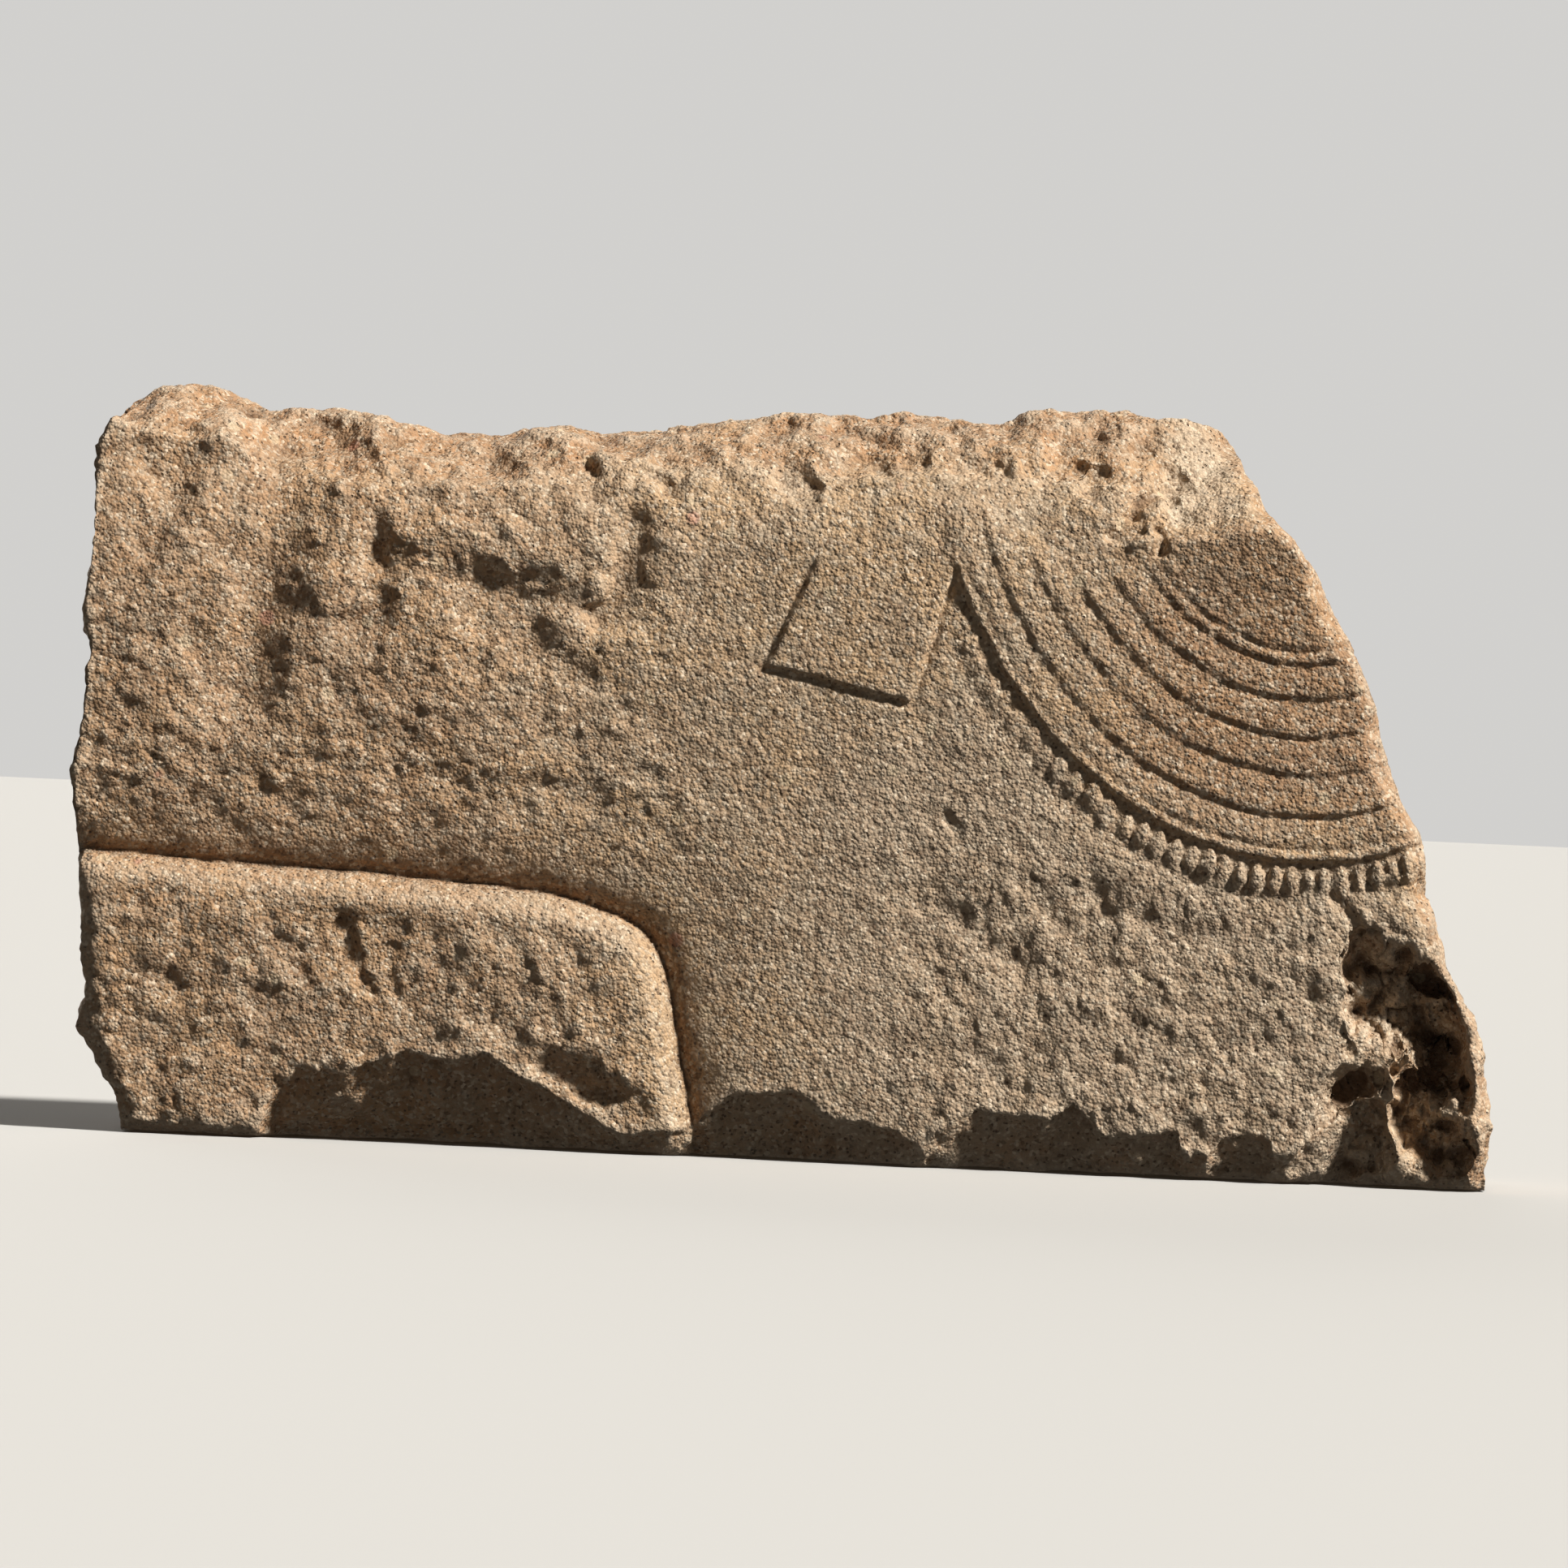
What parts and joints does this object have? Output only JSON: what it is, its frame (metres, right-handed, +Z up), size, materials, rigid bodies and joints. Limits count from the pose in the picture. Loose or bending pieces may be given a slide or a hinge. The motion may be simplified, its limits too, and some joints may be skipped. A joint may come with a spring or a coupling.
{
  "type": "stone relief panel fragment",
  "caption": "Broken block of carved stone: an arm, shoulder and chest in sunk relief with a broad bead-edged collar and a ribbon end.",
  "frame": {"origin": "middle of the level bed that the block stands on", "axes": "+X along the block to the right as seen from the carved front, -Y out of the carved front, +Y out of the flat back, +Z up"},
  "size_m": [0.4418, 0.1012, 0.237],
  "materials": {
    "stone": "granular weathered quartz-rich stone, matte"
  },
  "bodies": {
    "root": {"relief_panel": "stone"}
  },
  "joints": []
}
